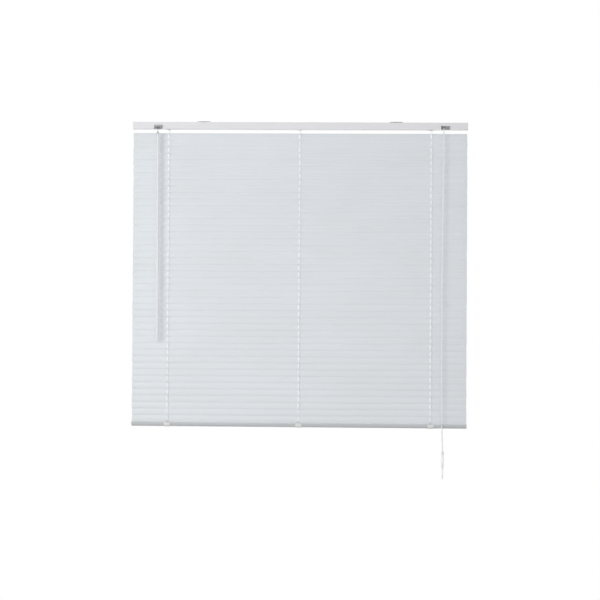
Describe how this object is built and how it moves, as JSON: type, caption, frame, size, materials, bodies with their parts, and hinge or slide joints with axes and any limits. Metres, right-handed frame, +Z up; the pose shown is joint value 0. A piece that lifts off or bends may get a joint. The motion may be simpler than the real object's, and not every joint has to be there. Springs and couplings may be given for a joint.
{
  "type": "venetian blind",
  "caption": "Horizontal venetian blind with a head rail, crowned metal slats on string ladders, a tilt wand, a corded lift with lock and tassel, and a bottom rail.",
  "frame": {"origin": "on the ceiling plane, midway between the two mounting brackets' ceiling screw holes", "axes": "+X along the blind to the cord side, +Y away from the room towards the window, +Z up"},
  "size_m": [1.18, 0.0387, 1.2515],
  "materials": {
    "slat_paint": "satin",
    "rail_paint": "satin",
    "bottom_rail_paint": "satin",
    "white_plastic": "satin",
    "zinc_plated_steel": "satin",
    "grey_metal": "satin",
    "roller_steel": "satin",
    "rod_steel": "satin",
    "white_cord": "matte",
    "clear_acrylic": "gloss"
  },
  "bodies": {
    "head_rail": {"head_rail": "rail_paint", "head_rail_end_caps": "white_plastic", "mounting_brackets": "zinc_plated_steel", "ladder_cradles": "white_plastic", "tilter_housing": "grey_metal", "cord_lock_housing": "grey_metal", "lift_cords": "white_cord"},
    "tilt_rod": {"tilt_rod": "rod_steel"},
    "tilter_worm": {"tilter_worm": "grey_metal"},
    "tilt_wand": {"tilt_wand": "clear_acrylic"},
    "cord_lock_roller": {"cord_lock_roller": "roller_steel"},
    "ladder_front": {"ladder_front_strings": "white_cord"},
    "ladder_rear": {"ladder_rear_strings": "white_cord"},
    "bottom_rail": {"bottom_rail": "bottom_rail_paint", "bottom_rail_fittings": "white_plastic"},
    "cord_tassel": {"cord_tassel": "white_plastic"},
    "slat_01": {"slat_01": "slat_paint"},
    "slat_02": {"slat_02": "slat_paint"},
    "slat_03": {"slat_03": "slat_paint"},
    "slat_04": {"slat_04": "slat_paint"},
    "slat_05": {"slat_05": "slat_paint"},
    "slat_06": {"slat_06": "slat_paint"},
    "slat_07": {"slat_07": "slat_paint"},
    "slat_08": {"slat_08": "slat_paint"},
    "slat_09": {"slat_09": "slat_paint"},
    "slat_10": {"slat_10": "slat_paint"},
    "slat_11": {"slat_11": "slat_paint"},
    "slat_12": {"slat_12": "slat_paint"},
    "slat_13": {"slat_13": "slat_paint"},
    "slat_14": {"slat_14": "slat_paint"},
    "slat_15": {"slat_15": "slat_paint"},
    "slat_16": {"slat_16": "slat_paint"},
    "slat_17": {"slat_17": "slat_paint"},
    "slat_18": {"slat_18": "slat_paint"},
    "slat_19": {"slat_19": "slat_paint"},
    "slat_20": {"slat_20": "slat_paint"},
    "slat_21": {"slat_21": "slat_paint"},
    "slat_22": {"slat_22": "slat_paint"},
    "slat_23": {"slat_23": "slat_paint"},
    "slat_24": {"slat_24": "slat_paint"},
    "slat_25": {"slat_25": "slat_paint"},
    "slat_26": {"slat_26": "slat_paint"},
    "slat_27": {"slat_27": "slat_paint"},
    "slat_28": {"slat_28": "slat_paint"},
    "slat_29": {"slat_29": "slat_paint"},
    "slat_30": {"slat_30": "slat_paint"},
    "slat_31": {"slat_31": "slat_paint"},
    "slat_32": {"slat_32": "slat_paint"},
    "slat_33": {"slat_33": "slat_paint"},
    "slat_34": {"slat_34": "slat_paint"},
    "slat_35": {"slat_35": "slat_paint"},
    "slat_36": {"slat_36": "slat_paint"},
    "slat_37": {"slat_37": "slat_paint"},
    "slat_38": {"slat_38": "slat_paint"},
    "slat_39": {"slat_39": "slat_paint"},
    "slat_40": {"slat_40": "slat_paint"},
    "slat_41": {"slat_41": "slat_paint"},
    "slat_42": {"slat_42": "slat_paint"},
    "slat_43": {"slat_43": "slat_paint"},
    "slat_44": {"slat_44": "slat_paint"}
  },
  "joints": [
    {"name": "tilt", "type": "hinge", "parent": "head_rail", "child": "tilt_rod", "pos_m": [0, 0, -0.014], "axis": [1, 0, 0], "range_deg": [-150, 0], "deforming": ["ladder_front_strings", "ladder_rear_strings"]},
    {"name": "tilter_worm_turn", "type": "hinge", "parent": "head_rail", "child": "tilter_worm", "pos_m": [-0.5005, -0.00688, -0.00918], "axis": [0, -0.5736, -0.8192], "range_deg": [0, 2100]},
    {"name": "wand_turn", "type": "hinge", "parent": "head_rail", "child": "tilt_wand", "pos_m": [-0.5005, -0.01973, -0.02753], "axis": [0.0044, 0, -1], "range_deg": [0, 2100]},
    {"name": "ladder_front_rise", "type": "hinge", "parent": "tilt_rod", "child": "ladder_front", "pos_m": [0, -0.00324, -0.02607], "axis": [1, 0, 0], "range_deg": [0, 150]},
    {"name": "ladder_rear_sink", "type": "hinge", "parent": "tilt_rod", "child": "ladder_rear", "pos_m": [0, 0.00324, -0.00193], "axis": [1, 0, 0], "range_deg": [0, 150]},
    {"name": "lift", "type": "slide", "parent": "head_rail", "child": "bottom_rail", "axis": [0, 0, 1], "range_m": [0, 0.88], "deforming": ["slat_01", "slat_02", "slat_03", "slat_04", "slat_05", "slat_06", "slat_07", "slat_08", "slat_09", "slat_10", "slat_11", "slat_12", "slat_13", "slat_14", "slat_15", "slat_16", "slat_17", "slat_18", "slat_19", "slat_20", "slat_21", "slat_22", "slat_23", "slat_24", "slat_25", "slat_26", "slat_27", "slat_28", "slat_29", "slat_30", "slat_31", "slat_32", "slat_33", "slat_34", "slat_35", "slat_36", "slat_37", "slat_38", "slat_39", "slat_40", "slat_41", "slat_42", "slat_43", "slat_44", "ladder_front_strings", "ladder_rear_strings", "lift_cords"]},
    {"name": "pull_cord", "type": "slide", "parent": "head_rail", "child": "cord_tassel", "axis": [0, 0, 1], "range_m": [-0.88, 0]},
    {"name": "cord_lock_release", "type": "slide", "parent": "head_rail", "child": "cord_lock_roller", "axis": [1, 0, 0], "range_m": [0, 0.0016]},
    {"name": "slat_01_tilt", "type": "hinge", "parent": "head_rail", "child": "slat_01", "pos_m": [0, 0, -0.05257], "axis": [1, 0, 0], "range_deg": [-150, 0]},
    {"name": "slat_02_tilt", "type": "hinge", "parent": "head_rail", "child": "slat_02", "pos_m": [0, 0, -0.0757], "axis": [1, 0, 0], "range_deg": [-150, 0]},
    {"name": "slat_03_tilt", "type": "hinge", "parent": "head_rail", "child": "slat_03", "pos_m": [0, 0, -0.09883], "axis": [1, 0, 0], "range_deg": [-150, 0]},
    {"name": "slat_04_tilt", "type": "hinge", "parent": "head_rail", "child": "slat_04", "pos_m": [0, 0, -0.12196], "axis": [1, 0, 0], "range_deg": [-150, 0]},
    {"name": "slat_05_tilt", "type": "hinge", "parent": "head_rail", "child": "slat_05", "pos_m": [0, 0, -0.14509], "axis": [1, 0, 0], "range_deg": [-150, 0]},
    {"name": "slat_06_tilt", "type": "hinge", "parent": "head_rail", "child": "slat_06", "pos_m": [0, 0, -0.16822], "axis": [1, 0, 0], "range_deg": [-150, 0]},
    {"name": "slat_07_tilt", "type": "hinge", "parent": "head_rail", "child": "slat_07", "pos_m": [0, 0, -0.19135], "axis": [1, 0, 0], "range_deg": [-150, 0]},
    {"name": "slat_08_tilt", "type": "hinge", "parent": "head_rail", "child": "slat_08", "pos_m": [0, 0, -0.21448], "axis": [1, 0, 0], "range_deg": [-150, 0]},
    {"name": "slat_09_tilt", "type": "hinge", "parent": "head_rail", "child": "slat_09", "pos_m": [0, 0, -0.23761], "axis": [1, 0, 0], "range_deg": [-150, 0]},
    {"name": "slat_10_tilt", "type": "hinge", "parent": "head_rail", "child": "slat_10", "pos_m": [0, 0, -0.26074], "axis": [1, 0, 0], "range_deg": [-150, 0]},
    {"name": "slat_11_tilt", "type": "hinge", "parent": "head_rail", "child": "slat_11", "pos_m": [0, 0, -0.28387], "axis": [1, 0, 0], "range_deg": [-150, 0]},
    {"name": "slat_12_tilt", "type": "hinge", "parent": "head_rail", "child": "slat_12", "pos_m": [0, 0, -0.307], "axis": [1, 0, 0], "range_deg": [-150, 0]},
    {"name": "slat_13_tilt", "type": "hinge", "parent": "head_rail", "child": "slat_13", "pos_m": [0, 0, -0.33013], "axis": [1, 0, 0], "range_deg": [-150, 0]},
    {"name": "slat_14_tilt", "type": "hinge", "parent": "head_rail", "child": "slat_14", "pos_m": [0, 0, -0.35326], "axis": [1, 0, 0], "range_deg": [-150, 0]},
    {"name": "slat_15_tilt", "type": "hinge", "parent": "head_rail", "child": "slat_15", "pos_m": [0, 0, -0.37639], "axis": [1, 0, 0], "range_deg": [-150, 0]},
    {"name": "slat_16_tilt", "type": "hinge", "parent": "head_rail", "child": "slat_16", "pos_m": [0, 0, -0.39952], "axis": [1, 0, 0], "range_deg": [-150, 0]},
    {"name": "slat_17_tilt", "type": "hinge", "parent": "head_rail", "child": "slat_17", "pos_m": [0, 0, -0.42265], "axis": [1, 0, 0], "range_deg": [-150, 0]},
    {"name": "slat_18_tilt", "type": "hinge", "parent": "head_rail", "child": "slat_18", "pos_m": [0, 0, -0.44578], "axis": [1, 0, 0], "range_deg": [-150, 0]},
    {"name": "slat_19_tilt", "type": "hinge", "parent": "head_rail", "child": "slat_19", "pos_m": [0, 0, -0.46891], "axis": [1, 0, 0], "range_deg": [-150, 0]},
    {"name": "slat_20_tilt", "type": "hinge", "parent": "head_rail", "child": "slat_20", "pos_m": [0, 0, -0.49204], "axis": [1, 0, 0], "range_deg": [-150, 0]},
    {"name": "slat_21_tilt", "type": "hinge", "parent": "head_rail", "child": "slat_21", "pos_m": [0, 0, -0.51517], "axis": [1, 0, 0], "range_deg": [-150, 0]},
    {"name": "slat_22_tilt", "type": "hinge", "parent": "head_rail", "child": "slat_22", "pos_m": [0, 0, -0.5383], "axis": [1, 0, 0], "range_deg": [-150, 0]},
    {"name": "slat_23_tilt", "type": "hinge", "parent": "head_rail", "child": "slat_23", "pos_m": [0, 0, -0.56143], "axis": [1, 0, 0], "range_deg": [-150, 0]},
    {"name": "slat_24_tilt", "type": "hinge", "parent": "head_rail", "child": "slat_24", "pos_m": [0, 0, -0.58456], "axis": [1, 0, 0], "range_deg": [-150, 0]},
    {"name": "slat_25_tilt", "type": "hinge", "parent": "head_rail", "child": "slat_25", "pos_m": [0, 0, -0.60769], "axis": [1, 0, 0], "range_deg": [-150, 0]},
    {"name": "slat_26_tilt", "type": "hinge", "parent": "head_rail", "child": "slat_26", "pos_m": [0, 0, -0.63082], "axis": [1, 0, 0], "range_deg": [-150, 0]},
    {"name": "slat_27_tilt", "type": "hinge", "parent": "head_rail", "child": "slat_27", "pos_m": [0, 0, -0.65395], "axis": [1, 0, 0], "range_deg": [-150, 0]},
    {"name": "slat_28_tilt", "type": "hinge", "parent": "head_rail", "child": "slat_28", "pos_m": [0, 0, -0.67708], "axis": [1, 0, 0], "range_deg": [-150, 0]},
    {"name": "slat_29_tilt", "type": "hinge", "parent": "head_rail", "child": "slat_29", "pos_m": [0, 0, -0.70021], "axis": [1, 0, 0], "range_deg": [-150, 0]},
    {"name": "slat_30_tilt", "type": "hinge", "parent": "head_rail", "child": "slat_30", "pos_m": [0, 0, -0.72334], "axis": [1, 0, 0], "range_deg": [-150, 0]},
    {"name": "slat_31_tilt", "type": "hinge", "parent": "head_rail", "child": "slat_31", "pos_m": [0, 0, -0.74647], "axis": [1, 0, 0], "range_deg": [-150, 0]},
    {"name": "slat_32_tilt", "type": "hinge", "parent": "head_rail", "child": "slat_32", "pos_m": [0, 0, -0.7696], "axis": [1, 0, 0], "range_deg": [-150, 0]},
    {"name": "slat_33_tilt", "type": "hinge", "parent": "head_rail", "child": "slat_33", "pos_m": [0, 0, -0.79273], "axis": [1, 0, 0], "range_deg": [-150, 0]},
    {"name": "slat_34_tilt", "type": "hinge", "parent": "head_rail", "child": "slat_34", "pos_m": [0, 0, -0.81586], "axis": [1, 0, 0], "range_deg": [-150, 0]},
    {"name": "slat_35_tilt", "type": "hinge", "parent": "head_rail", "child": "slat_35", "pos_m": [0, 0, -0.83899], "axis": [1, 0, 0], "range_deg": [-150, 0]},
    {"name": "slat_36_tilt", "type": "hinge", "parent": "head_rail", "child": "slat_36", "pos_m": [0, 0, -0.86212], "axis": [1, 0, 0], "range_deg": [-150, 0]},
    {"name": "slat_37_tilt", "type": "hinge", "parent": "head_rail", "child": "slat_37", "pos_m": [0, 0, -0.88525], "axis": [1, 0, 0], "range_deg": [-150, 0]},
    {"name": "slat_38_tilt", "type": "hinge", "parent": "head_rail", "child": "slat_38", "pos_m": [0, 0, -0.90838], "axis": [1, 0, 0], "range_deg": [-150, 0]},
    {"name": "slat_39_tilt", "type": "hinge", "parent": "head_rail", "child": "slat_39", "pos_m": [0, 0, -0.93151], "axis": [1, 0, 0], "range_deg": [-150, 0]},
    {"name": "slat_40_tilt", "type": "hinge", "parent": "head_rail", "child": "slat_40", "pos_m": [0, 0, -0.95464], "axis": [1, 0, 0], "range_deg": [-150, 0]},
    {"name": "slat_41_tilt", "type": "hinge", "parent": "head_rail", "child": "slat_41", "pos_m": [0, 0, -0.97777], "axis": [1, 0, 0], "range_deg": [-150, 0]},
    {"name": "slat_42_tilt", "type": "hinge", "parent": "head_rail", "child": "slat_42", "pos_m": [0, 0, -1.0009], "axis": [1, 0, 0], "range_deg": [-150, 0]},
    {"name": "slat_43_tilt", "type": "hinge", "parent": "head_rail", "child": "slat_43", "pos_m": [0, 0, -1.02403], "axis": [1, 0, 0], "range_deg": [-150, 0]},
    {"name": "slat_44_tilt", "type": "hinge", "parent": "head_rail", "child": "slat_44", "pos_m": [0, 0, -1.04716], "axis": [1, 0, 0], "range_deg": [-150, 0]}
  ],
  "couplings": [
    {"joint": "tilter_worm_turn", "follows": "tilt", "ratio": -14},
    {"joint": "wand_turn", "follows": "tilt", "ratio": -14},
    {"joint": "ladder_front_rise", "follows": "tilt", "ratio": -1},
    {"joint": "ladder_rear_sink", "follows": "tilt", "ratio": -1},
    {"joint": "pull_cord", "follows": "lift", "ratio": -1},
    {"joint": "slat_01_tilt", "follows": "tilt", "ratio": 1},
    {"joint": "slat_02_tilt", "follows": "tilt", "ratio": 1},
    {"joint": "slat_03_tilt", "follows": "tilt", "ratio": 1},
    {"joint": "slat_04_tilt", "follows": "tilt", "ratio": 1},
    {"joint": "slat_05_tilt", "follows": "tilt", "ratio": 1},
    {"joint": "slat_06_tilt", "follows": "tilt", "ratio": 1},
    {"joint": "slat_07_tilt", "follows": "tilt", "ratio": 1},
    {"joint": "slat_08_tilt", "follows": "tilt", "ratio": 1},
    {"joint": "slat_09_tilt", "follows": "tilt", "ratio": 1},
    {"joint": "slat_10_tilt", "follows": "tilt", "ratio": 1},
    {"joint": "slat_11_tilt", "follows": "tilt", "ratio": 1},
    {"joint": "slat_12_tilt", "follows": "tilt", "ratio": 1},
    {"joint": "slat_13_tilt", "follows": "tilt", "ratio": 1},
    {"joint": "slat_14_tilt", "follows": "tilt", "ratio": 1},
    {"joint": "slat_15_tilt", "follows": "tilt", "ratio": 1},
    {"joint": "slat_16_tilt", "follows": "tilt", "ratio": 1},
    {"joint": "slat_17_tilt", "follows": "tilt", "ratio": 1},
    {"joint": "slat_18_tilt", "follows": "tilt", "ratio": 1},
    {"joint": "slat_19_tilt", "follows": "tilt", "ratio": 1},
    {"joint": "slat_20_tilt", "follows": "tilt", "ratio": 1},
    {"joint": "slat_21_tilt", "follows": "tilt", "ratio": 1},
    {"joint": "slat_22_tilt", "follows": "tilt", "ratio": 1},
    {"joint": "slat_23_tilt", "follows": "tilt", "ratio": 1},
    {"joint": "slat_24_tilt", "follows": "tilt", "ratio": 1},
    {"joint": "slat_25_tilt", "follows": "tilt", "ratio": 1},
    {"joint": "slat_26_tilt", "follows": "tilt", "ratio": 1},
    {"joint": "slat_27_tilt", "follows": "tilt", "ratio": 1},
    {"joint": "slat_28_tilt", "follows": "tilt", "ratio": 1},
    {"joint": "slat_29_tilt", "follows": "tilt", "ratio": 1},
    {"joint": "slat_30_tilt", "follows": "tilt", "ratio": 1},
    {"joint": "slat_31_tilt", "follows": "tilt", "ratio": 1},
    {"joint": "slat_32_tilt", "follows": "tilt", "ratio": 1},
    {"joint": "slat_33_tilt", "follows": "tilt", "ratio": 1},
    {"joint": "slat_34_tilt", "follows": "tilt", "ratio": 1},
    {"joint": "slat_35_tilt", "follows": "tilt", "ratio": 1},
    {"joint": "slat_36_tilt", "follows": "tilt", "ratio": 1},
    {"joint": "slat_37_tilt", "follows": "tilt", "ratio": 1},
    {"joint": "slat_38_tilt", "follows": "tilt", "ratio": 1},
    {"joint": "slat_39_tilt", "follows": "tilt", "ratio": 1},
    {"joint": "slat_40_tilt", "follows": "tilt", "ratio": 1},
    {"joint": "slat_41_tilt", "follows": "tilt", "ratio": 1},
    {"joint": "slat_42_tilt", "follows": "tilt", "ratio": 1},
    {"joint": "slat_43_tilt", "follows": "tilt", "ratio": 1},
    {"joint": "slat_44_tilt", "follows": "tilt", "ratio": 1}
  ]
}
